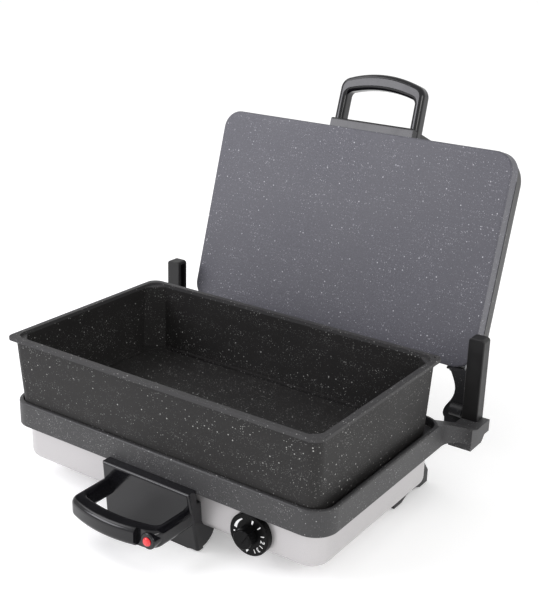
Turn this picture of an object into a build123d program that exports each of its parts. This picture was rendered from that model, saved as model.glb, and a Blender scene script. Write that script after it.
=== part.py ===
from build123d import *
from math import cos, radians, sin
import os

# Electric griddle with a heated tray plate, a lifting heated lid and a loose deep pan. Millimetres.
# The parts are drawn with +Z up, z = 0 on the worktop, x = 0 and y = 0 at the middle of the lower
# plate, and the lid open at the back. On export all move along Y by the same amount, so that the
# origin ends up on the worktop under the middle of the whole outline.

# Driving dimensions: lower plate
PLATE_W, PLATE_D = 400.0, 242.0
PLATE_CORNER = 25.0
RIM_H = 27.0
RIM_WALL = 4.0
WELL_DEPTH = 9.0
PLATE_FLOOR = 7.0
BOSS_R = 6.0
BOSS_X, BOSS_Y = PLATE_W / 2 - 60.0, PLATE_D / 2 - 46.0

# Base
STAND_H = 21.5
SHELL_INSET = 9.0
SHELL_VISIBLE = 41.5
SHELL_WALL = 1.2
SHELL_CORNER = 22.0
SHELL_FILLET = 9.0
BASE_OPENING_SIDE, BASE_OPENING_END = 75.0, 66.0
BASE_OPENING_W, BASE_OPENING_D = PLATE_W - 2 * BASE_OPENING_SIDE, PLATE_D - 2 * BASE_OPENING_END
COVER_LAP = 10.0
COVER_T = 1.0
VENT_PITCH, VENT_W = 20, 5.0
PAD_H = 1.5
RAIL_W = 25.0
REAR_STAND_INSET = 25.0
REAR_STAND_W = PLATE_W - 2 * REAR_STAND_INSET
REAR_STAND_REACH = 27.0
REAR_WALL = 3.0
INLET_W, INLET_H, INLET_DEPTH = 29.0, 12.5, 21.0

# Lugs and posts that carry the lid
LUG_SET, LUG_L = 13.0, 45.0
LUG_FRONT = PLATE_D / 2 + LUG_SET
LUG_REAR = LUG_FRONT + LUG_L
LUG_ARC = 20.0
LUG_T = 20.5
LUG_CUT = 18.0
LUG_DROP = 13.5
LUG_SIDE = 8.0
POST_W, POST_D, POST_H = 18.5, 15.5, 94.5
POST_GAP = 4.5
ROLLER_R = 3.6
ROLLER_L = 7.5
PIN_R = 2.0
RUNNING = 0.05
SLIP = 0.3
SLOT_W = 2 * (ROLLER_R + SLIP)
LID_RISE = 83.0

# Lid, drawn open
LID_INSET_X, LID_INSET_Y = 7.0, 0.7
LID_W, LID_D = PLATE_W - 2 * LID_INSET_X, PLATE_D - 2 * LID_INSET_Y
LID_CORNER = 22.0
LID_PLATE_T = 18.5
LID_FACE_T = 7.0
LID_WALL = 8.0
LID_COVER_T = 28.0
LID_COVER_LAP = 0.5
LID_COVER_CORNER = 34.0
LID_COVER_ROUND = 17.0
SHEET = 1.5
LEAN = 16.25
LID_BEHIND, LID_ABOVE = 65.0, 32.0
LID_Y, LID_Z = PLATE_D / 2 + LID_BEHIND, STAND_H + SHELL_VISIBLE + RIM_H + LID_ABOVE
LID_BOSS_OUT = 5.0
ARM_FRONT, ARM_BACK = -1.0, -16.0
ARM_SCREW_FAR, ARM_SCREW_NEAR = 24.2, 10.0

# Brackets and handles, the same on base and lid
BRACKET_W = 111.0
BRACKET_BODY_W = 107.0
BRACKET_FLARE = 5.0
BRACKET_DROP = 23.5
BRACKET_REACH = 12.0
BRACKET_LEAN = 10.0
BRACKET_FACE_T = 8.0
BRACKET_HOOK = 31.0
BRACKET_ROUND = 2.5
HANDLE_W = 114.0
HANDLE_REACH = 69.5
HANDLE_BOW = 11.5
HANDLE_BAR = 18.5
HANDLE_LEG = 11.2
HANDLE_T = 19.0
HANDLE_ROUND = 5.2
HANDLE_LOW, HANDLE_LID = 52.0, 40.5
LENS_R = 4.5
LAMP_X = 47.5
LAMP_HOUSE_R = 8.5
LAMP_HOUSE_REACH = 62.0
LAMP_NOTCH = 14.0

# Pan
PAN_INSET_X, PAN_INSET_Y = 5.5, 2.5
PAN_W, PAN_D, PAN_H = PLATE_W - 2 * PAN_INSET_X, PLATE_D - 2 * PAN_INSET_Y, 84.0
PAN_Y = -7.0
PAN_CORNER = 13.0
PAN_WALL = 2.5
PAN_LIP = 4.0
PAN_LIP_T = 4.0
PAN_TAPER_X, PAN_TAPER_Y = 2.0, 5.5
PAN_FLOOR = 4.0
PAN_LEDGE, PAN_LEDGE_H = 8.0, 3.0
PAN_FACET_LOW, PAN_FACET_TOP, PAN_FACET_STOP = 20.0, 18.0, 3.0
PAN_EAR = 24.0
PAN_DIMPLE_R, PAN_DIMPLE_DEPTH = 1.8, 1.2

# Heating and control
TUBE_R = 3.5
ELEMENT_IN_X, ELEMENT_IN_Y = 50.0, 61.0
ELEMENT_W, ELEMENT_D = PLATE_W - 2 * ELEMENT_IN_X, PLATE_D - 2 * ELEMENT_IN_Y
ELEMENT_BEND = 22.0
END_GAP = 28.0
ELEMENT_DROP, LID_ELEMENT_DROP = 24.0, 16.0
REFLECTOR_GAP = 17.0
REFLECTOR_T = 0.8
KNOB_SIDE = 82.5
KNOB_X = PLATE_W / 2 - KNOB_SIDE
DIAL_R, DIAL_T = 22.0, 7.5
GRIP_R, GRIP_L = 10.0, 11.5
SHAFT_R = 3.0

# Levels and faces that follow from them
SHELL_BOTTOM = STAND_H
PLATE_BOTTOM = SHELL_BOTTOM + SHELL_VISIBLE
RIM_TOP = PLATE_BOTTOM + RIM_H
WELL_FLOOR = RIM_TOP - WELL_DEPTH
PLATE_UNDER = WELL_FLOOR - PLATE_FLOOR
SHELL_W, SHELL_D = PLATE_W - 2 * SHELL_INSET, PLATE_D - 2 * SHELL_INSET
SHELL_FLOOR = SHELL_BOTTOM + SHELL_WALL
REFLECTOR_Z = PLATE_UNDER - REFLECTOR_GAP
LUG_TOP = RIM_TOP - LUG_DROP
POST_X = LID_W / 2 + LID_COVER_LAP + POST_GAP + POST_W / 2
POST_Y = LUG_REAR - 0.5 - POST_D / 2
PIVOT_Z = LUG_TOP + ROLLER_R + SLIP
KNOB_Z = PLATE_BOTTOM - DIAL_R - 1
LUG_X = POST_X + POST_W / 2 + LUG_SIDE
LUG_BOTTOM = LUG_TOP - LUG_T

LID = Plane(origin=(0, LID_Y, LID_Z), x_dir=(1, 0, 0), z_dir=(0, -cos(radians(LEAN)), sin(radians(LEAN))))


def slab(width, depth, corner, low, high):
    return Pos(0, 0, low) * extrude(RectangleRounded(width, depth, corner), high - low)


def block(x0, x1, y0, y1, z0, z1):
    return Pos((x0 + x1) / 2, (y0 + y1) / 2, (z0 + z1) / 2) * Box(x1 - x0, y1 - y0, z1 - z0)


def rod(radius, start, end):
    """A round bar from one point to another."""
    start, end = Vector(*start), Vector(*end)
    way = end - start
    return Plane(origin=start, z_dir=way).location * Pos(0, 0, way.length / 2) * Cylinder(radius, way.length)


def tube(outer, inner, start, end):
    return rod(outer, start, end) - rod(inner, start, end)


def side_profile(points, x0, x1):
    """A closed outline in Y and Z, carried from x0 to x1."""
    face = make_face(Polyline(*points, close=True))
    return Plane(origin=(x0, 0, 0), x_dir=(0, 1, 0), z_dir=(1, 0, 0)).location * extrude(face, x1 - x0)


def screw(radius, head_r, head_h, head, tip):
    """A pan-head screw: the head stands behind the point `head`, the shank runs to `tip`."""
    head, tip = Vector(*head), Vector(*tip)
    back = head - (tip - head).normalized() * head_h
    body = rod(radius, head, tip) + rod(head_r, back, head)
    slot = Plane(origin=back, z_dir=tip - head).location * Box(head_r * 1.4, 0.8, head_h)
    return body - slot


def mirrored(shape):
    return mirror(shape, about=Plane.YZ)


def both(shape):
    return [shape, mirrored(shape)]


def in_lid(shape):
    return LID.location * shape


def lid_point(x, s, f):
    """A point given across the lid, up the lid and out of its cooking face."""
    return LID.from_local_coords(Vector(x, s, f))


parts = {}


def keep(name, *shapes):
    parts[name] = list(shapes)


# ---------------------------------------------------------------- lower plate with its lugs
def lug_plan():
    side, inner = PLATE_W / 2, POST_X - POST_W / 2
    hollow_x, hollow_y = side + LUG_ARC, LUG_FRONT - LUG_ARC
    middle = (hollow_x - LUG_ARC * cos(radians(45)), hollow_y + LUG_ARC * sin(radians(45)))
    return make_face(
        Polyline((side - 20, PLATE_D / 2 - 40), (side, PLATE_D / 2 - 40), (side, hollow_y))
        + ThreePointArc((side, hollow_y), middle, (hollow_x, LUG_FRONT))
        + Polyline((hollow_x, LUG_FRONT), (LUG_X, LUG_FRONT), (LUG_X, LUG_REAR), (inner, LUG_REAR),
                   (inner, LUG_FRONT + 16), (side - 28, PLATE_D / 2 - 2), (side - 28, PLATE_D / 2 - 20),
                   (side - 20, PLATE_D / 2 - 40))
    )


def lug():
    """A shoulder off the plate's rear corner that slopes down to a thick block under the post."""
    blank = extrude(Pos(0, 0, PLATE_BOTTOM) * lug_plan(), RIM_H)
    slope = side_profile([
        (PLATE_D / 2 - 60, PLATE_BOTTOM), (PLATE_D / 2 - 60, RIM_TOP), (PLATE_D / 2 - 16, RIM_TOP),
        (LUG_FRONT + 14, LUG_TOP), (LUG_REAR + 5, LUG_TOP), (LUG_REAR + 5, PLATE_BOTTOM),
    ], 0, LUG_X + 5)
    foot = side_profile([(LUG_FRONT, LUG_BOTTOM), (LUG_FRONT, LUG_TOP - 3), (LUG_REAR, LUG_TOP - 3),
                         (LUG_REAR - LUG_CUT, LUG_BOTTOM)], POST_X - POST_W / 2, LUG_X)
    return (blank & slope) + foot


SHELL_BODY = fillet(
    slab(SHELL_W, SHELL_D, SHELL_CORNER, SHELL_BOTTOM, PLATE_UNDER).edges().group_by(Axis.Z)[0], SHELL_FILLET)

bosses = [(x, y) for x in (-BOSS_X, BOSS_X) for y in (-BOSS_Y, BOSS_Y)]

post_screw_x = POST_X + POST_W / 4
post_screws = [screw(1.8, 3.2, 2.4, (sx * post_screw_x, POST_Y, LUG_BOTTOM + 14),
                     (sx * post_screw_x, POST_Y, LUG_TOP + 12)) for sx in (-1, 1)]

plate = fillet(slab(PLATE_W, PLATE_D, PLATE_CORNER, PLATE_BOTTOM, RIM_TOP).edges().group_by(Axis.Z)[-1], 2.2)
for side_lug in both(lug()):
    plate += side_lug
plate -= slab(PLATE_W - 2 * RIM_WALL, PLATE_D - 2 * RIM_WALL, PLATE_CORNER - RIM_WALL,
              WELL_FLOOR, RIM_TOP + 1)
plate -= slab(SHELL_W + 2 * SLIP, SHELL_D + 2 * SLIP, SHELL_CORNER, LUG_BOTTOM - 1, PLATE_UNDER)
for x, y in bosses:
    plate += tube(BOSS_R, PIN_R, (x, y, REFLECTOR_Z + REFLECTOR_T), (x, y, PLATE_UNDER))
for sx in (-1, 1):
    plate -= rod(3.6, (sx * post_screw_x, POST_Y, LUG_BOTTOM - 1),
                 (sx * post_screw_x, POST_Y, LUG_BOTTOM + 14))
    plate -= rod(1.8, (sx * post_screw_x, POST_Y, LUG_BOTTOM), (sx * post_screw_x, POST_Y, LUG_TOP + 1))
keep("lower_plate", plate)

# ---------------------------------------------------------------- base shell and its cover
hole_x, hole_y = BASE_OPENING_W / 2 + COVER_LAP / 2, BASE_OPENING_D / 2 + COVER_LAP / 2
cover_holes = [(x, y) for x in (-hole_x, -BASE_OPENING_W / 5, BASE_OPENING_W / 5, hole_x)
               for y in (-hole_y, hole_y)]
inner_body = fillet(
    slab(SHELL_W - 2 * SHELL_WALL, SHELL_D - 2 * SHELL_WALL, SHELL_CORNER - SHELL_WALL, SHELL_FLOOR,
         PLATE_UNDER + 1).edges().group_by(Axis.Z)[0], SHELL_FILLET - SHELL_WALL)
shell = SHELL_BODY - inner_body
shell -= block(-BASE_OPENING_W / 2, BASE_OPENING_W / 2, -BASE_OPENING_D / 2, BASE_OPENING_D / 2, 0, SHELL_FLOOR)
shell -= rod(5, (KNOB_X, -PLATE_D / 2, KNOB_Z), (KNOB_X, 0, KNOB_Z))
for x, y in bosses:
    shell -= rod(PIN_R, (x, y, 0), (x, y, SHELL_FLOOR + 1))
for x, y in cover_holes:
    shell -= rod(1.5, (x, y, 0), (x, y, SHELL_FLOOR + 1))
shell -= block(-9, 9, 0, PLATE_D, SHELL_BOTTOM + 10, SHELL_BOTTOM + 16)
keep("base_shell", shell)

cover = slab(BASE_OPENING_W + 2 * COVER_LAP, BASE_OPENING_D + 2 * COVER_LAP, 8,
             SHELL_BOTTOM - COVER_T, SHELL_BOTTOM)
vents = int((BASE_OPENING_W / 2 - VENT_PITCH) // VENT_PITCH)
vent_l = BASE_OPENING_D / 2 - 19
for x in range(-vents * VENT_PITCH, vents * VENT_PITCH + 1, VENT_PITCH):
    for y in (-BASE_OPENING_D / 4, BASE_OPENING_D / 4):
        cover -= Pos(x, y, 0) * extrude(SlotOverall(vent_l, VENT_W, rotation=90), SHELL_BOTTOM)
for x, y in cover_holes:
    cover -= rod(1.5, (x, y, 0), (x, y, SHELL_BOTTOM + 1))
keep("bottom_cover", cover)
keep("bottom_cover_screws", *[screw(1.5, 2.8, 1.8, (x, y, SHELL_BOTTOM - COVER_T), (x, y, SHELL_FLOOR + 5))
                              for x, y in cover_holes])

# ---------------------------------------------------------------- pillars, reflector, element
keep("plate_pillars", *[tube(5, PIN_R, (x, y, SHELL_FLOOR), (x, y, REFLECTOR_Z)) for x, y in bosses])
keep("plate_screws", *[screw(PIN_R, 4, 2.6, (x, y, SHELL_BOTTOM), (x, y, PLATE_UNDER - 2)) for x, y in bosses])

REFLECTOR_W, REFLECTOR_D = 2 * BOSS_X + 36, 2 * BOSS_Y + 36
reflector = slab(REFLECTOR_W, REFLECTOR_D, 12, REFLECTOR_Z, REFLECTOR_Z + 8)
reflector -= slab(REFLECTOR_W - 2 * REFLECTOR_T, REFLECTOR_D - 2 * REFLECTOR_T, 12 - REFLECTOR_T,
                  REFLECTOR_Z + REFLECTOR_T, REFLECTOR_Z + 9)
for x, y in bosses:
    reflector -= rod(PIN_R, (x, y, REFLECTOR_Z - 1), (x, y, REFLECTOR_Z + 2))
for x in (-END_GAP / 2, END_GAP / 2):
    reflector -= rod(TUBE_R + 1.5, (x, ELEMENT_D / 2, REFLECTOR_Z - 1), (x, ELEMENT_D / 2, REFLECTOR_Z + 2))
keep("lower_reflector", reflector)


def element_path(width, depth, level, drop):
    """Half of a heating tube: from its terminal up, out along the back, round the side and to the front."""
    return FilletPolyline(
        (END_GAP / 2, depth / 2, level - drop), (END_GAP / 2, depth / 2, level), (width / 2, depth / 2, level),
        (width / 2, -depth / 2, level), (0, -depth / 2, level), radius=[9, ELEMENT_BEND, ELEMENT_BEND])


def element(width, depth, level, drop):
    path = element_path(width, depth, level, drop)
    start = Plane(origin=path @ 0, z_dir=path % 0)
    half = sweep(start * Circle(TUBE_R), path=path)
    return half + mirrored(half)


TUBE_Z = PLATE_UNDER - TUBE_R
TERMINAL_Z = TUBE_Z - ELEMENT_DROP
keep("lower_element", element(ELEMENT_W, ELEMENT_D, TUBE_Z, ELEMENT_DROP))


def clamp(x, y, level):
    """A bridge strap over the tube, flat on the plate at both ends."""
    arch = Pos(0, 0, level - 1) * Box(8, 30, 2) + Pos(0, 0, level - 2 * TUBE_R - 1.5) * Box(8, 12, 1.5)
    arch += Pos(0, 6, level - TUBE_R - 1) * Box(8, 1.5, 2 * TUBE_R + 2)
    arch += Pos(0, -6, level - TUBE_R - 1) * Box(8, 1.5, 2 * TUBE_R + 2)
    arch -= Pos(0, 0, level - TUBE_R) * Rot(0, 90, 0) * Cylinder(TUBE_R, 20)
    arch -= Pos(0, 0, level - TUBE_R / 2) * Box(20, 2 * TUBE_R, TUBE_R + 0.02)
    for side in (-11, 11):
        arch -= Pos(0, side, level) * Cylinder(1.5, 8)
    return Pos(x, y, 0) * arch


clamp_x = ELEMENT_W / 2 - 60
clamp_spots = [(x, y) for x in (-clamp_x, clamp_x) for y in (-ELEMENT_D / 2, ELEMENT_D / 2)]
keep("element_clamps", *[clamp(x, y, PLATE_UNDER) for x, y in clamp_spots])

terminal = block(-28, 28, ELEMENT_D / 2 - 9, ELEMENT_D / 2 + 9, SHELL_FLOOR, TERMINAL_Z)
for x in (-END_GAP / 2, END_GAP / 2):
    terminal -= rod(2.2, (x, ELEMENT_D / 2, SHELL_FLOOR + 8), (x, ELEMENT_D / 2, TERMINAL_Z + 1))
terminal -= block(-1.5, 1.5, 0, PLATE_D, SHELL_FLOOR + 8, TERMINAL_Z + 1)
keep("terminal_block", terminal)

# ---------------------------------------------------------------- thermostat, dial and knob
shell_front = -SHELL_D / 2
inside = shell_front + SHELL_WALL
thermostat = block(KNOB_X - 17, KNOB_X + 17, inside + 2, inside + 24, KNOB_Z - 9, KNOB_Z + 13)
thermostat += tube(5, SHAFT_R + RUNNING, (KNOB_X, shell_front - 3, KNOB_Z), (KNOB_X, inside + 2.5, KNOB_Z))
thermostat -= rod(SHAFT_R + RUNNING, (KNOB_X, shell_front - 4, KNOB_Z), (KNOB_X, inside + 12, KNOB_Z))
keep("thermostat_body", thermostat)

dial_face = shell_front - DIAL_T
dial = rod(DIAL_R, (KNOB_X, shell_front, KNOB_Z), (KNOB_X, dial_face, KNOB_Z))
dial = fillet(dial.edges().group_by(Axis.Y)[0], 1.4)
dial -= rod(5, (KNOB_X, shell_front, KNOB_Z), (KNOB_X, shell_front - 3, KNOB_Z))
dial -= rod(SHAFT_R + 0.6, (KNOB_X, shell_front, KNOB_Z), (KNOB_X, dial_face - 1, KNOB_Z))
keep("thermostat_dial", dial)

grip_start, grip_end = dial_face - 0.4, dial_face - GRIP_L
grip = rod(GRIP_R, (KNOB_X, grip_start, KNOB_Z), (KNOB_X, grip_end, KNOB_Z))
grip = fillet(grip.edges().group_by(Axis.Y)[0], 1.6)
rib = block(KNOB_X - 2.2, KNOB_X + 2.2, grip_end - 1.2, grip_start, KNOB_Z - 2, KNOB_Z + GRIP_R + 2.5)
grip += Pos(KNOB_X, 0, KNOB_Z) * Rot(0, 30, 0) * Pos(-KNOB_X, 0, -KNOB_Z) * rib
grip -= rod(SHAFT_R, (KNOB_X, grip_start + 1, KNOB_Z), (KNOB_X, grip_end + 3, KNOB_Z))
keep("thermostat_knob", grip)
keep("thermostat_shaft", rod(SHAFT_R, (KNOB_X, inside + 11.5, KNOB_Z), (KNOB_X, grip_end + 3, KNOB_Z)))

# ---------------------------------------------------------------- rear stand and power inlet
stand_back = SHELL_D / 2 + REAR_STAND_REACH
rear = side_profile([(SHELL_D / 2 - 8, PAD_H), (stand_back, PAD_H), (stand_back, 16), (stand_back - 11, 30),
                     (SHELL_D / 2, 38), (SHELL_D / 2 - 8, 38)], -REAR_STAND_W / 2, REAR_STAND_W / 2)
hollow = side_profile([(SHELL_D / 2 - 9, PAD_H - 1), (stand_back - REAR_WALL, PAD_H - 1),
                       (stand_back - REAR_WALL, 15), (stand_back - 13, 27), (SHELL_D / 2, 34.5),
                       (SHELL_D / 2 - 9, 34.5)], -REAR_STAND_W / 2 + RAIL_W, REAR_STAND_W / 2 - RAIL_W)
rail_start = SHELL_D / 2 - 50
rail = side_profile([(rail_start, SHELL_BOTTOM), (rail_start + 2, PAD_H), (rail_start + 18, PAD_H),
                     (rail_start + 28, 5.5), (rail_start + 39, 7), (rail_start + 50, 5.5),
                     (rail_start + 60, PAD_H),
                     (SHELL_D / 2 + 12, PAD_H), (SHELL_D / 2 + 12, SHELL_BOTTOM)],
                    REAR_STAND_W / 2 - RAIL_W, REAR_STAND_W / 2)
rear = rear - hollow
rear -= side_profile([(SHELL_D / 2 - 9, 0), (SHELL_D / 2 - 9, 6), (SHELL_D / 2, 5.5), (SHELL_D / 2 + 10, PAD_H),
                      (SHELL_D / 2 + 10, 0)], -REAR_STAND_W, REAR_STAND_W)
for side_rail in both(rail):
    rear += side_rail
rear -= SHELL_BODY
inlet_low, inlet_top = PAD_H + 1, PAD_H + 1 + INLET_H
inlet_box = block(-INLET_W / 2, INLET_W / 2, stand_back - INLET_DEPTH, stand_back, inlet_low, inlet_top)
rear -= inlet_box
rail_x, rail_y = REAR_STAND_W / 2 - RAIL_W / 2, SHELL_D / 2 - 19
rail_screws = [screw(PIN_R, 4, 2.6, (x, rail_y, 14), (x, rail_y, SHELL_BOTTOM)) for x in (-rail_x, rail_x)]
for x, one in zip((-rail_x, rail_x), rail_screws):
    rear -= rod(4, (x, rail_y, 0), (x, rail_y, 14))
    rear -= one
keep("rear_stand", rear)

socket = inlet_box - block(-INLET_W / 2 + 2, INLET_W / 2 - 2, stand_back - 17, stand_back + 1,
                           inlet_low + 2, inlet_top - 2)
pin_z = (inlet_low + inlet_top) / 2
inlet_pins = []
for x in (-8, 0, 8):
    blade = block(x - 1, x + 1, stand_back - INLET_DEPTH - 4, stand_back - 6, pin_z - 2, pin_z + 2)
    socket -= blade
    inlet_pins.append(blade)
keep("power_inlet", socket)
keep("inlet_pins", *inlet_pins)
keep("rear_stand_screws", *rail_screws)

# ---------------------------------------------------------------- brackets and handles
BASE_FRONT = Plane(origin=(0, -PLATE_D / 2, RIM_TOP), x_dir=(1, 0, 0), z_dir=(0, 0, -1))
LID_FRONT = Plane(origin=lid_point(0, LID_D, 0), x_dir=(-1, 0, 0), z_dir=-LID.z_dir)
FULL_DROP = RIM_TOP - PAD_H


def across(points, width):
    """An outline given outward and downward from the plate's front top edge, carried across the middle.

    It is `width` wide at the bracket's top and grows wider downward by the flare on each side.
    """
    top, low = width / 2, width / 2 + BRACKET_FLARE
    face = make_face(Polyline(*points, close=True))
    carried = Plane(origin=(-low, 0, 0), x_dir=(0, 1, 0), z_dir=(1, 0, 0)).location * extrude(face, 2 * low)
    sides = make_face(Polyline((-top, BRACKET_DROP), (top, BRACKET_DROP), (low, FULL_DROP), (-low, FULL_DROP),
                               close=True))
    return carried & (Pos(0, 100, 0) * Rot(90, 0, 0) * extrude(sides, 200))


def bracket():
    top, bottom = BRACKET_DROP, FULL_DROP
    outer, foot = BRACKET_REACH, BRACKET_REACH - BRACKET_LEAN
    face = across([(0, top), (outer, top), (foot, bottom), (foot - BRACKET_FACE_T, bottom), (0, top + 10)],
                  BRACKET_W)
    face = fillet(face.faces().sort_by(Axis.Y)[-1].edges().sort_by(Axis.Z)[:3], BRACKET_ROUND)
    sweep_r = BRACKET_HOOK - 8
    heel = (foot - BRACKET_FACE_T - 1, bottom)
    end = (-BRACKET_HOOK, bottom - sweep_r)
    curve = [(heel[0] - (heel[0] - end[0]) * sin(radians(a)), end[1] + sweep_r * cos(radians(a)))
             for a in (0, 15, 30, 45, 60, 75, 90)]
    body = across([(0, top + 1), (outer - 3, top + 1), (foot - 3, bottom)] + curve
                  + [(-BRACKET_HOOK, 40), (0, 40)], BRACKET_BODY_W)
    return face + body


def handle():
    """The U-shaped grip, flat about its own middle level, with its legs starting inside the bracket."""
    half, corner = HANDLE_W / 2, HANDLE_REACH - HANDLE_BOW
    leg_in = half - HANDLE_LEG
    inner_mid, inner_corner = HANDLE_REACH - HANDLE_BAR, HANDLE_REACH - HANDLE_BAR - 7
    outline = make_face(Polyline((-half, 2), (-half + 1, corner)) + ThreePointArc(
        (-half + 1, corner), (0, HANDLE_REACH), (half - 1, corner))
        + Polyline((half - 1, corner), (half, 2), (-half, 2)))
    gap = make_face(Polyline((-leg_in, 1), (-leg_in + 0.5, inner_corner)) + ThreePointArc(
        (-leg_in + 0.5, inner_corner), (0, inner_mid), (leg_in - 0.5, inner_corner))
        + Polyline((leg_in - 0.5, inner_corner), (leg_in, 1), (-leg_in, 1)))
    shape = Pos(0, 0, -HANDLE_T / 2) * extrude(outline, HANDLE_T)
    opening = Pos(0, 0, -HANDLE_T) * extrude(gap, 2 * HANDLE_T)
    shape = fillet(shape.edges().filter_by(Axis.Z).sort_by(Axis.Y)[-2:], 14)
    opening = fillet(opening.edges().filter_by(Axis.Z).sort_by(Axis.Y)[-2:], 6)
    shape -= opening
    rims = shape.edges().filter_by(lambda e: abs(e.center().Z) > HANDLE_T / 2 - 0.01)
    rims = rims.filter_by(lambda e: e.center().Y > 2.5)
    return fillet(rims, HANDLE_ROUND)


grip_shape = handle()
base_bracket = BASE_FRONT.location * bracket()
base_handle = BASE_FRONT.location * Pos(0, 0, HANDLE_LOW) * grip_shape
lamp_z = RIM_TOP - HANDLE_LOW
lamp_y = -PLATE_D / 2 - LAMP_HOUSE_REACH
base_handle -= block(LAMP_X - LAMP_NOTCH, HANDLE_W / 2 + 1, lamp_y - HANDLE_REACH, lamp_y + 2,
                     lamp_z - HANDLE_T, lamp_z + HANDLE_T)
house = rod(LAMP_HOUSE_R, (LAMP_X, lamp_y + 12, lamp_z), (LAMP_X, lamp_y, lamp_z))
base_handle += fillet(house.edges().group_by(Axis.Y)[0], 1.5)
base_handle -= rod(LENS_R, (LAMP_X, lamp_y + 10, lamp_z), (LAMP_X, lamp_y - 10, lamp_z))
base_bracket -= SHELL_BODY
base_bracket -= slab(PLATE_W, PLATE_D, PLATE_CORNER, PLATE_BOTTOM, RIM_TOP)
base_bracket -= base_handle
handle_screw_x = (HANDLE_W - HANDLE_LEG) / 2
front_screws = [screw(PIN_R, 4, 2.2, (x, shell_front + SHELL_WALL, lamp_z), (x, -PLATE_D / 2 - 18, lamp_z))
                for x in (-handle_screw_x, handle_screw_x)]
for one in front_screws:
    base_bracket -= one
    base_handle -= one
for x in (-handle_screw_x, handle_screw_x):
    parts["base_shell"][0] -= rod(PIN_R, (x, shell_front - 1, lamp_z), (x, shell_front + 3, lamp_z))
keep("front_bracket", base_bracket)
keep("front_handle", base_handle)
keep("front_handle_screws", *front_screws)

lens = rod(LENS_R, (LAMP_X, lamp_y + 1, lamp_z), (LAMP_X, lamp_y - 2.4, lamp_z))
lens = fillet(lens.edges().group_by(Axis.Y)[0], 2.3)
keep("signal_lamp_lens", lens)
keep("neon_lamp", rod(2.6, (LAMP_X, lamp_y + 10, lamp_z), (LAMP_X, lamp_y + 1, lamp_z)))

# ---------------------------------------------------------------- posts
post_inner = POST_X - POST_W / 2
slot_top = PIVOT_Z + LID_RISE + ROLLER_R + SLIP
right_post = block(post_inner, POST_X + POST_W / 2, POST_Y - POST_D / 2, POST_Y + POST_D / 2,
                   LUG_TOP, LUG_TOP + POST_H)
right_post = fillet(right_post.edges().group_by(Axis.Z)[-1].filter_by(Axis.Y), 4)
right_post = fillet(right_post.edges().filter_by(Axis.Z), 1.2)
right_post -= block(post_inner - 1, post_inner + ROLLER_L + 1.5, POST_Y - SLOT_W / 2, POST_Y + SLOT_W / 2,
                    LUG_TOP, slot_top)
right_post -= rod(1.8, (post_screw_x, POST_Y, LUG_TOP - 1), (post_screw_x, POST_Y, LUG_TOP + 12))
keep("right_post", right_post)
keep("left_post", mirrored(right_post))
keep("post_screws", *post_screws)

# ---------------------------------------------------------------- rollers in the post slots
roller_x = post_inner + 0.8
roller = tube(ROLLER_R, PIN_R + RUNNING, (roller_x, POST_Y, PIVOT_Z), (roller_x + ROLLER_L, POST_Y, PIVOT_Z))
keep("right_hinge_roller", roller)
keep("left_hinge_roller", mirrored(roller))

# ---------------------------------------------------------------- lid
lid_boss_y = BOSS_Y + LID_BOSS_OUT
lid_bosses = [(x, LID_D / 2 + y) for x in (-BOSS_X, BOSS_X) for y in (-lid_boss_y, lid_boss_y)]


def lid_slab(width, depth, corner, low, high):
    return Pos(0, LID_D / 2, low) * extrude(RectangleRounded(width, depth, corner), high - low)


upper = fillet(lid_slab(LID_W, LID_D, LID_CORNER, -LID_PLATE_T, 0).edges().group_by(Axis.Z)[-1], 2)
upper -= lid_slab(LID_W - 2 * LID_WALL, LID_D - 2 * LID_WALL, LID_CORNER - LID_WALL,
                  -LID_PLATE_T - 1, -LID_FACE_T)
for x, y in lid_bosses:
    upper += tube(BOSS_R, 1.6, (x, y, -LID_PLATE_T), (x, y, -LID_FACE_T))

COVER_W, COVER_D = LID_W + 2 * LID_COVER_LAP, LID_D + 2 * LID_COVER_LAP
lid_back = -LID_PLATE_T - LID_COVER_T
cover_full = fillet(
    lid_slab(COVER_W, COVER_D, LID_COVER_CORNER, lid_back, -LID_PLATE_T).edges().group_by(Axis.Z)[0],
    LID_COVER_ROUND)
cover_inner = fillet(
    lid_slab(COVER_W - 2 * SHEET, COVER_D - 2 * SHEET, LID_COVER_CORNER - SHEET, lid_back + SHEET,
             -LID_PLATE_T + 1).edges().group_by(Axis.Z)[0], LID_COVER_ROUND - SHEET)
lid_cover = cover_full - cover_inner
for x, y in lid_bosses:
    lid_cover += tube(BOSS_R, 1.6, (x, y, lid_back + SHEET / 2), (x, y, -LID_PLATE_T))
    lid_cover -= rod(1.6, (x, y, lid_back - 1), (x, y, -LID_PLATE_T + 1))
for x in range(-60, 61, 15):
    lid_cover -= Pos(x, LID_D / 2, lid_back - 1) * extrude(SlotOverall(44, 4, rotation=90), SHEET + 2)
lid_screws = [screw(1.6, 3, 2, (x, y, lid_back), (x, y, -LID_FACE_T - 2)) for x, y in lid_bosses]

pivot = LID.to_local_coords(Vector(0, POST_Y, PIVOT_Z))
arm_outer = post_inner - 1.6


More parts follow.
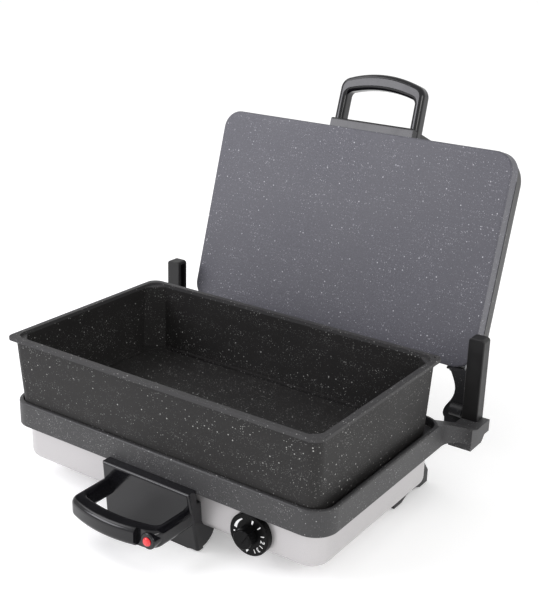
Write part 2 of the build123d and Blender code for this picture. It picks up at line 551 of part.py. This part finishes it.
def arm_shape():
    """Right arm: a waisted lever under the lid's lower edge, ending in the hub that carries the pin."""
    edge = LID_W / 2
    toe = (edge - 19, pivot.Y - 12)
    waist = Spline((edge - 25, 0), (edge - 17.5, -12), (edge - 13, -24), (edge - 15, -35),
                   (edge - 20.5, pivot.Y - 1), (edge - 21.5, pivot.Y - 8), toe)
    face = make_face(waist + Polyline(toe, (edge - 18, pivot.Y - 17), (edge - 5, pivot.Y - 17),
                                      (arm_outer, pivot.Y - 8), (arm_outer, 0), (edge - 25, 0)))
    web = Pos(0, 0, ARM_BACK) * extrude(face, ARM_FRONT - ARM_BACK)
    hub = rod(7.2, (edge - 11, pivot.Y, pivot.Z), (arm_outer, pivot.Y, pivot.Z))
    pad = block(edge - ARM_SCREW_FAR - 4, arm_outer - 6, -3.5, -LID_COVER_LAP, lid_back + 18, -2)
    return web + hub + pad


arm = arm_shape()
arm_screw_spots = (LID_W / 2 - ARM_SCREW_FAR, LID_W / 2 - ARM_SCREW_NEAR)
arm_screws = [screw(PIN_R, 3.6, 2.2, (x, -3.5, -10), (x, LID_WALL - 1, -10)) for x in arm_screw_spots]
hinge_pin = rod(PIN_R, (LID_W / 2 - 9, pivot.Y, pivot.Z), (roller_x + ROLLER_L - 0.4, pivot.Y, pivot.Z))
for one in arm_screws:
    arm -= one
    head = one.bounding_box()
    arm -= block(head.min.X, head.max.X, -18, -3.5, head.min.Z, head.max.Z)
    upper -= one
    upper -= mirrored(one)
arm -= hinge_pin
keep("upper_plate", in_lid(upper))
keep("lid_cover", in_lid(lid_cover))
keep("lid_cover_screws", *[in_lid(one) for one in lid_screws])
keep("right_hinge_arm", in_lid(arm))
keep("left_hinge_arm", in_lid(mirrored(arm)))
keep("hinge_pins", *[in_lid(one) for one in both(hinge_pin)])
keep("hinge_arm_screws", *[in_lid(shape) for one in arm_screws for shape in both(one)])

lid_handle = LID_FRONT.location * Pos(0, 0, HANDLE_LID) * grip_shape
lid_bracket = LID_FRONT.location * bracket()
lid_bracket -= in_lid(cover_full)
lid_bracket -= in_lid(lid_slab(LID_W, LID_D, LID_CORNER, -LID_PLATE_T, 0))
lid_bracket -= in_lid(block(-BRACKET_W, BRACKET_W, 0, LID_D + LID_COVER_LAP,
                            -LID_PLATE_T - LID_COVER_T / 2, 0))
lid_bracket -= lid_handle
bracket_screw_x = BRACKET_W / 2 - 20.5
bracket_screw_f = -BRACKET_DROP - 5
bracket_screws = [screw(PIN_R, 4, 2.2, lid_point(x, LID_D + LID_COVER_LAP - SHEET, bracket_screw_f),
                        lid_point(x, LID_D + 6, bracket_screw_f)) for x in (-bracket_screw_x, bracket_screw_x)]
for one in bracket_screws:
    lid_bracket -= one
    parts["lid_cover"][0] -= one
keep("lid_bracket_screws", *bracket_screws)
keep("lid_bracket", lid_bracket)
keep("lid_handle", lid_handle)

upper_level = -LID_FACE_T
upper_tube = Pos(0, LID_D / 2, 0) * element(ELEMENT_W - 20, ELEMENT_D, upper_level - TUBE_R, LID_ELEMENT_DROP)
keep("upper_element", in_lid(upper_tube))
keep("upper_element_clamps", *[in_lid(Pos(0, LID_D / 2, 0) * clamp(x, y, upper_level))
                               for x, y in clamp_spots])
upper_reflector = Pos(0, LID_D / 2, -LID_PLATE_T - 2) * Box(2 * BOSS_X - 20, 2 * lid_boss_y + 20, REFLECTOR_T)
upper_reflector -= Pos(0, LID_D / 2 + ELEMENT_D / 2, -LID_PLATE_T - 2) * Box(END_GAP + 14, 14, 4)
keep("upper_reflector", in_lid(upper_reflector))
upper_terminal = block(-24, 24, LID_D / 2 + ELEMENT_D / 2 - 7, LID_D / 2 + ELEMENT_D / 2 + 7,
                       lid_back + SHEET, upper_level - TUBE_R - LID_ELEMENT_DROP)
keep("upper_terminal_block", in_lid(upper_terminal))

# ---------------------------------------------------------------- deep pan
def pan_layer(shrink_x, shrink_y, corner, level):
    return Pos(0, PAN_Y, level) * RectangleRounded(PAN_W - 2 * shrink_x, PAN_D - 2 * shrink_y, corner)


pan_low, pan_top = WELL_FLOOR, WELL_FLOOR + PAN_H
low_x, low_y = PAN_LIP + PAN_TAPER_X, PAN_LIP + PAN_TAPER_Y
in_x, in_y = low_x + PAN_WALL, low_y + PAN_WALL
outside = loft([pan_layer(low_x, low_y, PAN_CORNER, pan_low),
                pan_layer(PAN_LIP, PAN_LIP, PAN_CORNER - 2, pan_top)])
outside = fillet(outside.edges().group_by(Axis.Z)[0], 3)
lip = extrude(pan_layer(0, 0, PAN_CORNER, pan_top - PAN_LIP_T), PAN_LIP_T)
for sx, sy in ((-1, -1), (1, 1)):
    ear = RectangleRounded(PAN_EAR, PAN_EAR, 7)
    lip += Pos(sx * (PAN_W - PAN_EAR) / 2, PAN_Y + sy * (PAN_D - PAN_EAR) / 2, pan_top - PAN_LIP_T) * extrude(
        ear, PAN_LIP_T)
lip = fillet(lip.edges().group_by(Axis.Z)[-1], 1.2)
ear_in = PAN_LIP + 3
lip -= rod(PAN_DIMPLE_R, (PAN_W / 2 - ear_in, PAN_Y + PAN_D / 2 - ear_in, pan_top - PAN_DIMPLE_DEPTH),
           (PAN_W / 2 - ear_in, PAN_Y + PAN_D / 2 - ear_in, pan_top + 1))
cavity = loft([pan_layer(in_x, in_y, 12, pan_low + PAN_FLOOR),
               pan_layer(PAN_LIP + PAN_WALL, PAN_LIP + PAN_WALL, 12, pan_top + 1)])
ledge = extrude(pan_layer(in_x - 3, in_y - 3, 12, pan_low + PAN_FLOOR), PAN_LEDGE_H)
tray_w, tray_d = PAN_W - 2 * (in_x + PAN_LEDGE), PAN_D - 2 * (in_y + PAN_LEDGE - 4)
ledge -= Pos(0, PAN_Y, pan_low) * extrude(chamfer(Rectangle(tray_w, tray_d).vertices(), 22), PAN_H)
pan = outside + lip - cavity


def corner_facet(sx, sy):
    """A flat across an inside corner, from the floor to just under the rim."""
    rings = []
    for shrink_x, shrink_y, leg, level in ((in_x, in_y, PAN_FACET_LOW, pan_low + PAN_FLOOR),
                                           (PAN_LIP + PAN_WALL, PAN_LIP + PAN_WALL, PAN_FACET_TOP,
                                            pan_top - PAN_FACET_STOP)):
        x, y = sx * (PAN_W / 2 - shrink_x), PAN_Y + sy * (PAN_D / 2 - shrink_y)
        ring = Polyline((x + sx, y + sy), (x - sx * leg, y + sy), (x + sx, y - sy * leg), close=True)
        rings.append(Pos(0, 0, level) * make_face(ring))
    return loft(rings)


for sx in (-1, 1):
    for sy in (-1, 1):
        pan += corner_facet(sx, sy) & outside
pan += ledge & outside
keep("deep_pan", pan)

# ---------------------------------------------------------------- feet
pad_spots = [(x, y) for x in (-rail_x, rail_x) for y in (SHELL_D / 2 - 40, SHELL_D / 2 + 18)]
pads = [rod(6, (x, y, 0), (x, y, PAD_H)) for x, y in pad_spots]
foot_x = BRACKET_W / 2 - 20.5
foot_y = -PLATE_D / 2 - (BRACKET_REACH - BRACKET_LEAN) + 3.5
pads += [Pos(x, foot_y, 0) * extrude(SlotOverall(30, 6), PAD_H) for x in (-foot_x, foot_x)]
keep("rubber_pads", *pads)

# ---------------------------------------------------------------- export
os.makedirs("parts", exist_ok=True)
boxes = [shape.bounding_box() for shapes in parts.values() for shape in shapes]
middle_y = (min(box.min.Y for box in boxes) + max(box.max.Y for box in boxes)) / 2
for name, shapes in parts.items():
    solids = [solid for shape in shapes for solid in shape.solids()]
    moved = [Pos(0, -middle_y, 0) * solid for solid in solids]
    export_step(moved[0] if len(moved) == 1 else Compound(children=moved), f"parts/{name}.step")
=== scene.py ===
import bmesh
import bpy
from math import cos, radians, sin
from mathutils import Matrix, Vector


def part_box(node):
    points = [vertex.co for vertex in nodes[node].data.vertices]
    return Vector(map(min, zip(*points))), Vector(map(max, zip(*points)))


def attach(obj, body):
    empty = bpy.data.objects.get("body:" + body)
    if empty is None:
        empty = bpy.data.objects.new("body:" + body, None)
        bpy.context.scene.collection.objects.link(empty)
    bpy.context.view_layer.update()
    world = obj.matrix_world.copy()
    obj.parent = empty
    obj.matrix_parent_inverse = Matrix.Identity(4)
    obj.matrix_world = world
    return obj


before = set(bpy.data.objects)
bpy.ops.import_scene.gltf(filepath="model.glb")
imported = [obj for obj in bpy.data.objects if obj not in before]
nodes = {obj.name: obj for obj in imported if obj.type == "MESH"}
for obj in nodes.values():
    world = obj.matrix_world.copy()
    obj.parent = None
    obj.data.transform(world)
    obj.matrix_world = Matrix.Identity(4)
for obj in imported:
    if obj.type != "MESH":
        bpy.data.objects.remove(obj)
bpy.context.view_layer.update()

MM = 0.001

# Coatings
# Height of the pan's lighter top band: partly wear, partly a painted highlight on the lip
PAN_RIM_HEIGHT = 4.2 * MM
RIM_FADE = 0.6 * MM
# Flecks of the coating: pitch and size in mm, then number and strength beside the large ones
FLECKS = ((4.6, 0.74, 1.0, 1.0), (2.4, 0.50, 1.3, 0.7), (1.25, 0.34, 1.7, 0.36))

# Print on the dial: radii and sizes in mm from the dial's middle, angles in degrees clockwise from the top
SWEEP_START, SWEEP_END, SWEEP_STEPS = 284, 334, 16
SWEEP_OUTER, SWEEP_WIDE, SWEEP_NARROWING = 17.2, 3.4, 2.4
# The tick where the sweep starts, the zero bar and three thin ticks: angle, width in degrees, two radii
TICKS = ((268, 5.0, 15.4, 17.2), (16, 6.5, 13.4, 17.6), (76, 3.0, 14.6, 18.6), (116, 3.0, 14.6, 18.6),
         (153, 3.0, 14.6, 18.6))
NUMBERS = (("1", 46), ("2", 97), ("3", 135))
NUMBER_SIZE, NUMBER_RADIUS, NUMBER_BOLDNESS = 6.6, 16.2, 0.16
TRIANGLE_ANGLE, TRIANGLE_HALF_WIDTH = 184, 0.13
TRIANGLE_TIP, TRIANGLE_BACK = 18.8, 15.6
PRINT_CLEARANCE, PRINT_THICKNESS = 0.06, 0.12

# Studio, in metres, watts and degrees
FLOOR_HALF_SIZE = 25.0
WORLD_STRENGTH = 0.82
LIGHT_TARGET = Vector((0, 0, 0.12))
CAMERA_YAW, CAMERA_PITCH, CAMERA_ROLL = 34.37, 20.07, 1.6
CAMERA_LENS, CAMERA_SENSOR = 65.23, 36.0
# Camera place in mm: sideways and back from the middle of the lower plate, up from the floor
CAMERA_RIGHT, CAMERA_BACK, CAMERA_UP = 626.9, -840.0, 597.8
PLATE_HALF_DEPTH = 121.0


# ---------------------------------------------------------------- shader maths
class Tone:
    """A value, colour or vector inside a material's node tree."""

    def __init__(self, tree, socket=None):
        self.tree, self.socket = tree, socket

    def node(self, kind, settings=None, sockets=None, out=0):
        made = self.tree.nodes.new(kind)
        for name, value in (settings or {}).items():
            setattr(made, name, value)
        for name, value in (sockets or {}).items():
            if isinstance(value, Tone):
                self.tree.links.new(value.socket, made.inputs[name])
            else:
                made.inputs[name].default_value = value
        return Tone(self.tree, made.outputs[out])

    def maths(self, operation, first, second=0.0):
        return self.node("ShaderNodeMath", {"operation": operation}, {0: first, 1: second})

    def __add__(self, other):
        return self.maths("ADD", self, other)

    __radd__ = __add__

    def __sub__(self, other):
        return self.maths("SUBTRACT", self, other)

    def __rsub__(self, other):
        return self.maths("SUBTRACT", other, self)

    def __mul__(self, other):
        return self.maths("MULTIPLY", self, other)

    __rmul__ = __mul__

    def __lt__(self, other):
        return self.maths("LESS_THAN", self, other)

    def span(self, low, high, start=0.0, end=1.0):
        """Maps low..high to start..end smoothly and stops at both."""
        sockets = {"Value": self, "From Min": low, "From Max": high, "To Min": start, "To Max": end}
        return self.node("ShaderNodeMapRange", {"interpolation_type": "SMOOTHSTEP"}, sockets)

    def mix(self, first, second):
        """Goes from the first colour to the second as this value goes from 0 to 1."""
        colours = {6: first, 7: second}
        for key, colour in colours.items():
            if not isinstance(colour, Tone):
                colours[key] = (*colour, 1.0)
        return self.node("ShaderNodeMix", {"data_type": "RGBA"}, {0: self, **colours}, out=2)

    def noise(self, scale, detail=2.0, rough=0.5):
        sockets = {"Vector": self, "Scale": scale, "Detail": detail, "Roughness": rough}
        return self.node("ShaderNodeTexNoise", {}, sockets)

    def part(self, axis):
        return self.node("ShaderNodeSeparateXYZ", {}, {0: self}, out="XYZ".index(axis))

    def stretched(self, scale):
        return self.node("ShaderNodeMapping", {}, {"Vector": self, "Scale": scale})

    def flecks(self, pitch, size, share):
        """Small round spots in a share of the cells of a loose grid: 0 between them, brighter if larger."""
        settings = {"feature": "F1"}
        sockets = {"Vector": self, "Scale": 1.0 / pitch}
        reach = self.node("ShaderNodeTexVoronoi", settings, sockets, out=0)
        chance = self.node("ShaderNodeTexVoronoi", settings, sockets, out=1)
        draw = chance.node("ShaderNodeSeparateColor", {}, {0: chance}, out=0)
        other = chance.node("ShaderNodeSeparateColor", {}, {0: chance}, out=1)
        radius = (other * 0.7 + 0.3) * (size / pitch)
        spot = (reach - radius).span(-0.05, 0.05, 1.0, 0.0)
        return spot * (draw < share) * (other * 0.6 + 0.4)

    def bump(self, height, distance, strength):
        sockets = {"Height": height, "Distance": distance, "Strength": strength}
        return self.node("ShaderNodeBump", {}, sockets)


def shade(colour, factor):
    return [channel * factor for channel in colour]


def finish(name, paint, **fixed):
    """A material on the Principled shader: paint(place) gives what varies, fixed is the same all over."""
    material = bpy.data.materials.new(name)
    material.use_nodes = True
    tree = material.node_tree
    tree.nodes.clear()
    shader = tree.nodes.new("ShaderNodeBsdfPrincipled")
    output = tree.nodes.new("ShaderNodeOutputMaterial")
    tree.links.new(shader.outputs[0], output.inputs[0])
    for key, value in fixed.items():
        shader.inputs[key.replace("_", " ")].default_value = value
    place = Tone(tree).node("ShaderNodeTexCoord", out=3)
    for key, value in paint(place).items():
        tree.links.new(value.socket, shader.inputs[key.replace("_", " ")])
    return material


def speckled(name, ground, fleck, share, rough, specular=0.5, worn=None):
    """Stone-look non-stick coating: a dark ground, light flecks of three sizes, a fine pebbled skin.

    `worn` gives a height and a colour: above that height the coating shows that colour, a lighter rim that is
    partly rubbed wear and partly a painted highlight on the rounded lip.
    """
    def paint(place):
        cloud = place.noise(9.0, 3.0)
        grit = place.noise(950.0, 2.0, 0.6)
        crowd = place.noise(38.0, 3.0, 0.6).span(0.3, 0.72, 0.25, 1.5)
        layers = [place.flecks(pitch * MM, size * MM, crowd * (share * number)) * strength
                  for pitch, size, number, strength in FLECKS]
        spots = layers[0]
        for layer in layers[1:]:
            spots = place.maths("MAXIMUM", spots, layer)
        tone = cloud.span(0.3, 0.7).mix(shade(ground, 0.9), shade(ground, 1.1))
        tone = grit.span(0.25, 0.75).mix(shade(ground, 0.72), tone)
        # The band above the rim height is lighter: partly rubbed wear, partly a painted highlight on the lip
        if worn:
            height, rim_wear_and_highlight = worn
            tone = place.part("Z").span(height - RIM_FADE, height + RIM_FADE).mix(tone, rim_wear_and_highlight)
        return {"Base_Color": spots.mix(tone, fleck),
                "Roughness": cloud.span(0.3, 0.7, rough - 0.05, rough + 0.05),
                "Normal": place.bump(grit, 0.12 * MM, 0.5)}
    return finish(name, paint, Specular_IOR_Level=specular)


def moulded(name, colour, rough, grain=700.0, depth=0.02, specular=0.5):
    """Moulded plastic: faint cloudy tone and a fine grain in its skin, with the grain's depth in mm."""
    def paint(place):
        cloud = place.noise(35.0, 3.0)
        skin = place.noise(grain, 2.0)
        smear = place.noise(70.0, 4.0, 0.65)
        return {"Base_Color": cloud.span(0.3, 0.7).mix(shade(colour, 0.85), shade(colour, 1.2)),
                "Roughness": smear.span(0.35, 0.7, rough - 0.03, rough + 0.06),
                "Normal": place.bump(skin, depth * MM, 0.4)}
    return finish(name, paint, Specular_IOR_Level=specular)


def plated(name, colour, rough, grain=(900.0, 900.0, 900.0)):
    """Bare or plated metal with a fine grain, drawn out along an axis whose value is low."""
    def paint(place):
        lines = place.stretched(grain).noise(1.0, 3.0, 0.6)
        cloud = place.noise(60.0, 2.0)
        return {"Base_Color": lines.span(0.3, 0.7).mix(shade(colour, 0.88), shade(colour, 1.06)),
                "Roughness": cloud.span(0.3, 0.7, rough - 0.05, rough + 0.08),
                "Normal": place.bump(lines, 0.01 * MM, 0.4)}
    return finish(name, paint, Metallic=1.0)


def silver_lacquer():
    """Satin silver lacquer on steel sheet: metal flake under a soft clear coat."""
    def paint(place):
        flake = place.noise(2600.0, 1.0, 0.6)
        drawn = place.stretched((14.0, 14.0, 1500.0)).noise(1.0, 2.0)
        cloud = place.noise(14.0, 2.0)
        tone = flake.span(0.3, 0.7).mix((0.44, 0.427, 0.430), (0.53, 0.515, 0.518))
        tone = drawn.span(0.2, 0.8).mix(tone, (0.49, 0.476, 0.479))
        return {"Base_Color": tone,
                "Roughness": cloud.span(0.3, 0.7, 0.34, 0.42),
                "Normal": place.bump(flake, 0.008 * MM, 0.5)}
    return finish("silver_lacquer", paint, Metallic=0.55, Coat_Weight=0.25, Coat_Roughness=0.3)


def lamp_red():
    """Clear red plastic of the signal lamp, lit very faintly."""
    def paint(place):
        swirl = place.noise(260.0, 2.0)
        return {"Base_Color": swirl.span(0.3, 0.7).mix((0.62, 0.008, 0.016), (0.76, 0.016, 0.024)),
                "Roughness": swirl.span(0.3, 0.7, 0.08, 0.14)}
    return finish("lamp_red", paint, Coat_Weight=0.6, Coat_Roughness=0.04,
                  Emission_Color=(1.0, 0.03, 0.02, 1.0), Emission_Strength=0.03)


def print_white():
    """White ink, a little uneven."""
    def paint(place):
        worn = place.noise(900.0, 3.0, 0.6)
        return {"Base_Color": worn.span(0.25, 0.6).mix((0.62, 0.62, 0.63), (0.86, 0.86, 0.86)),
                "Roughness": worn.span(0.3, 0.7, 0.4, 0.55)}
    return finish("print_white", paint)


def studio_floor():
    """White floor with a faint glow of its own, so that only the shadow shows on it."""
    def paint(place):
        cloud = place.noise(2.0, 2.0)
        return {"Base_Color": cloud.span(0.3, 0.7).mix((0.94, 0.94, 0.94), (0.96, 0.96, 0.96)),
                "Roughness": cloud.span(0.3, 0.7, 0.75, 0.85)}
    return finish("studio_floor", paint, Specular_IOR_Level=0.1, Emission_Color=(1.0, 1.0, 1.0, 1.0),
                  Emission_Strength=0.24)


pan_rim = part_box("deep_pan")[1].z - PAN_RIM_HEIGHT

coats = {
    "silver_shell": silver_lacquer(),
    "plate_coating": speckled("plate_coating", ground=(0.041, 0.0405, 0.042), fleck=(0.42, 0.42, 0.42),
                              share=0.38, rough=0.45, specular=0.4),
    "lid_coating": speckled("lid_coating", ground=(0.094, 0.093, 0.111), fleck=(0.46, 0.46, 0.50),
                            share=0.62, rough=0.45, specular=0.4),
    # The pan's top rim band is lighter: partly wear, partly a painted highlight on the lip
    "pan_coating": speckled("pan_coating", ground=(0.0196, 0.0187, 0.0185), fleck=(0.38, 0.38, 0.37),
                            share=0.42, rough=0.48, specular=0.20, worn=(pan_rim, (0.040, 0.039, 0.040))),
    "cover_paint": speckled("cover_paint", ground=(0.052, 0.051, 0.052), fleck=(0.30, 0.30, 0.30),
                            share=0.10, rough=0.5),
    "hinge_coating": speckled("hinge_coating", ground=(0.020, 0.020, 0.022), fleck=(0.4, 0.4, 0.4),
                              share=0.16, rough=0.45, specular=0.4),
    "gloss_black": moulded("gloss_black", (0.0035, 0.0034, 0.0046), rough=0.15, specular=0.42),
    "matt_black": moulded("matt_black", (0.0085, 0.0082, 0.0085), rough=0.45, grain=1100.0, depth=0.05,
                          specular=0.38),
    "knob_black": moulded("knob_black", (0.0032, 0.0032, 0.0034), rough=0.30, grain=900.0, specular=0.10),
    "lamp_red": lamp_red(),
    "print_white": print_white(),
    "zinc": plated("zinc", (0.62, 0.63, 0.65), rough=0.32),
    "brass": plated("brass", (0.78, 0.60, 0.30), rough=0.28),
    "dull_steel": plated("dull_steel", (0.50, 0.50, 0.51), rough=0.42, grain=(40.0, 900.0, 900.0)),
    "rubber": moulded("rubber", (0.022, 0.022, 0.022), rough=0.72, grain=1400.0, depth=0.06, specular=0.3),
    "amber_glass": moulded("amber_glass", (0.75, 0.45, 0.30), rough=0.15),
}

worn_by = {
    "silver_shell": ["base_shell"],
    "plate_coating": ["lower_plate"],
    "lid_coating": ["upper_plate"],
    "pan_coating": ["deep_pan"],
    "cover_paint": ["lid_cover"],
    "hinge_coating": ["left_hinge_arm", "right_hinge_arm"],
    "gloss_black": ["front_bracket", "front_handle", "lid_bracket", "lid_handle"],
    "matt_black": ["rear_stand", "power_inlet", "left_post", "right_post", "thermostat_body",
                   "terminal_block", "upper_terminal_block"],
    "knob_black": ["thermostat_dial", "thermostat_knob"],
    "lamp_red": ["signal_lamp_lens"],
    "rubber": ["rubber_pads"],
    "brass": ["inlet_pins"],
    "amber_glass": ["neon_lamp"],
    "zinc": ["bottom_cover_screws", "front_handle_screws", "hinge_arm_screws", "hinge_pins",
             "lid_bracket_screws", "lid_cover_screws", "plate_screws", "post_screws", "rear_stand_screws",
             "plate_pillars", "thermostat_shaft", "left_hinge_roller", "right_hinge_roller"],
    "dull_steel": ["bottom_cover", "element_clamps", "upper_element_clamps", "lower_reflector",
                   "upper_reflector", "lower_element", "upper_element"],
}
for coat, names in worn_by.items():
    for name in names:
        mesh = nodes[name].data
        mesh.materials.clear()
        mesh.materials.append(coats[coat])


# ---------------------------------------------------------------- pieces
def finished(name, shape, material):
    """Turns a bmesh into an object at the origin."""
    mesh = bpy.data.meshes.new(name)
    shape.to_mesh(mesh)
    shape.free()
    mesh.materials.append(material)
    made = bpy.data.objects.new(name, mesh)
    bpy.context.scene.collection.objects.link(made)
    return made


def on_dial(radius, angle):
    """A point on the dial's face, from a radius in mm and an angle in radians clockwise from the top."""
    return radius * MM * sin(angle), 0, radius * MM * cos(angle)


def sector(shape, inner, outer, start, end, steps):
    """A flat band on the dial between two radii and two clock angles."""
    corners = [shape.verts.new(on_dial(radius, radians(start))) for radius in (inner, outer)]
    edge = shape.edges.new(corners)
    bmesh.ops.spin(shape, geom=[edge, *corners], axis=(0, 1, 0), cent=(0, 0, 0),
                   angle=radians(end - start), steps=steps)


def number(shape, symbol, clock):
    """One upright number, turned to its place round the dial."""
    words = bpy.data.curves.new("number", "FONT")
    words.body, words.size, words.offset = symbol, NUMBER_SIZE * MM, NUMBER_BOLDNESS * MM
    words.align_x, words.align_y = "CENTER", "CENTER"
    holder = bpy.data.objects.new("number", words)
    flat = bpy.data.meshes.new_from_object(holder)
    outwards = Matrix.Rotation(radians(clock), 4, "Y") @ Matrix.Translation((0, 0, NUMBER_RADIUS * MM))
    flat.transform(outwards @ Matrix.Rotation(radians(90), 4, "X"))
    shape.from_mesh(flat)
    bpy.data.objects.remove(holder)
    bpy.data.meshes.remove(flat)


def dial_scale():
    """The white print on the dial: a tapering sweep, a zero bar, ticks, three numbers and a triangle."""
    dial_low, dial_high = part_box("thermostat_dial")
    dial_centre = (dial_low + dial_high) / 2
    shape = bmesh.new()
    sweep_step = (SWEEP_END - SWEEP_START) / SWEEP_STEPS
    for step in range(SWEEP_STEPS):
        start = SWEEP_START + sweep_step * step
        wide = SWEEP_WIDE - SWEEP_NARROWING * step / SWEEP_STEPS
        sector(shape, SWEEP_OUTER - wide, SWEEP_OUTER, start, start + sweep_step, 1)
    for clock, wide, inner, outer in TICKS:
        sector(shape, inner, outer, clock - wide / 2, clock + wide / 2, 2)
    for symbol, clock in NUMBERS:
        number(shape, symbol, clock)
    side = radians(TRIANGLE_ANGLE)
    shape.faces.new([shape.verts.new(on_dial(TRIANGLE_TIP, side)),
                     shape.verts.new(on_dial(TRIANGLE_BACK, side - TRIANGLE_HALF_WIDTH)),
                     shape.verts.new(on_dial(TRIANGLE_BACK, side + TRIANGLE_HALF_WIDTH))])
    bmesh.ops.remove_doubles(shape, verts=shape.verts, dist=1e-6)
    bmesh.ops.translate(shape, verts=shape.verts,
                        vec=(dial_centre.x, dial_low.y - PRINT_CLEARANCE * MM, dial_centre.z))
    for face in shape.faces:
        face.normal_update()
        if face.normal.y > 0:
            face.normal_flip()
    made = finished("dial_scale", shape, coats["print_white"])
    ink = made.modifiers.new("ink", "SOLIDIFY")
    ink.thickness, ink.offset = PRINT_THICKNESS * MM, -1.0
    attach(made, "base")


dial_scale()


# ---------------------------------------------------------------- studio
def studio():
    """A white floor, an even white surround and three soft boxes."""
    shape = bmesh.new()
    bmesh.ops.create_grid(shape, x_segments=2, y_segments=2, size=FLOOR_HALF_SIZE)
    finished("floor", shape, studio_floor())

    world = bpy.data.worlds.new("studio")
    bpy.context.scene.world = world
    world.use_nodes = True
    backdrop = world.node_tree.nodes["Background"]
    backdrop.inputs["Color"].default_value = (1.0, 1.0, 1.0, 1.0)
    backdrop.inputs["Strength"].default_value = WORLD_STRENGTH

    for name, place, width, depth, power, tint in (
            ("high_softbox", Vector((-1.20, -0.50, 1.65)), 1.2, 0.8, 8.0, (0.98, 0.97, 1.0)),
            ("front_softbox", Vector((-1.25, -1.55, 1.12)), 1.1, 0.8, 18.0, (0.95, 0.94, 1.0)),
            ("side_softbox", Vector((1.75, -0.60, 1.05)), 1.2, 0.6, 11.0, (1.0, 0.99, 0.98))):
        light = bpy.data.lights.new(name, "AREA")
        light.shape, light.size, light.size_y = "RECTANGLE", width, depth
        light.energy, light.color = power, tint
        lamp = bpy.data.objects.new(name, light)
        lamp.location = place
        lamp.rotation_euler = (LIGHT_TARGET - place).to_track_quat("-Z", "Y").to_euler()
        bpy.context.scene.collection.objects.link(lamp)


def camera():
    """A camera at the front, to the right and above, looking down on the griddle."""
    yaw, pitch, roll = radians(CAMERA_YAW), radians(CAMERA_PITCH), radians(CAMERA_ROLL)
    back = Vector((sin(yaw) * cos(pitch), -cos(yaw) * cos(pitch), sin(pitch)))
    level = Vector((cos(yaw), sin(yaw), 0))
    upright = back.cross(level)
    right = cos(roll) * level + sin(roll) * upright
    above = cos(roll) * upright - sin(roll) * level
    turn = Matrix((right, above, back)).transposed().to_4x4()
    plate_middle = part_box("lower_plate")[0].y + PLATE_HALF_DEPTH * MM
    place = (CAMERA_RIGHT * MM, CAMERA_BACK * MM + plate_middle, CAMERA_UP * MM)
    data = bpy.data.cameras.new("camera")
    data.lens, data.sensor_width, data.sensor_fit = CAMERA_LENS, CAMERA_SENSOR, "AUTO"
    data.clip_start, data.clip_end = 0.05, 50.0
    made = bpy.data.objects.new("camera", data)
    made.matrix_world = Matrix.Translation(place) @ turn
    bpy.context.scene.collection.objects.link(made)
    bpy.context.scene.camera = made


studio()
camera()
bpy.context.scene.view_settings.view_transform = "Standard"
